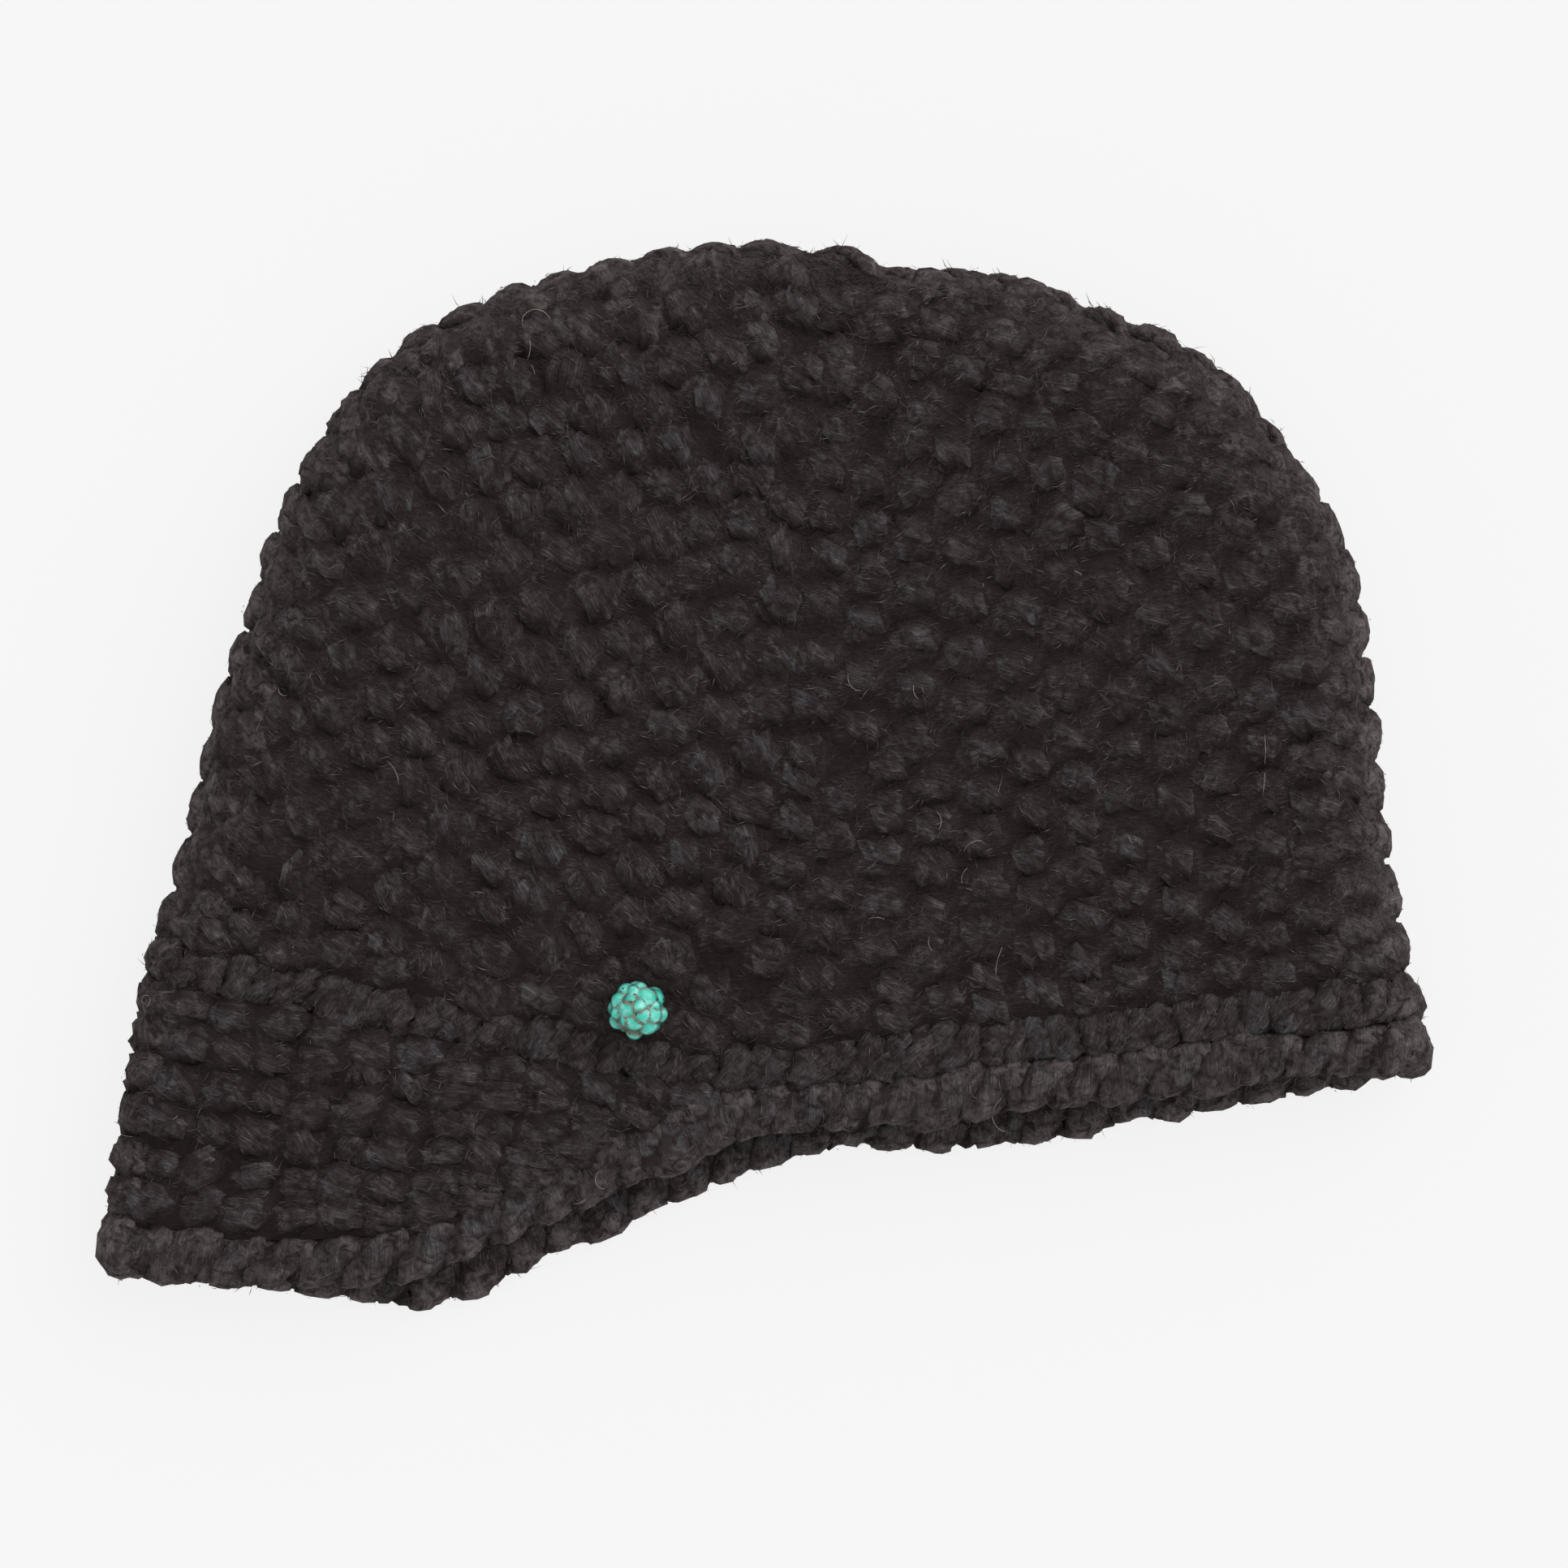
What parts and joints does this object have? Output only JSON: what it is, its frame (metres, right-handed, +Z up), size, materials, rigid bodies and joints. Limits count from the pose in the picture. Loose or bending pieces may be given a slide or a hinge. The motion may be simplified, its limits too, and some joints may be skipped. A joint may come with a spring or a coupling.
{
  "type": "peaked knit cap",
  "caption": "Chunky crocheted wool cap with a small soft peak, a ridged band, a rope-like edging and a sewn-on nugget bead, lying flat on its side.",
  "frame": {"origin": "middle of the base of the cap as it lies flat on its side", "axes": "+X towards the back of the head, +Y towards the top of the crown, +Z up from the surface it lies on"},
  "size_m": [0.2782, 0.2242, 0.044],
  "materials": {
    "wool": "matte, fuzzy, thick plied yarn, crocheted",
    "turquoise": "polished nugget with a grey-brown matrix in its grooves",
    "thread": "matte"
  },
  "bodies": {
    "root": {"crown": "wool", "band": "wool", "peak": "wool", "edging": "wool", "bead": "turquoise", "bead_thread": "thread"}
  },
  "joints": []
}
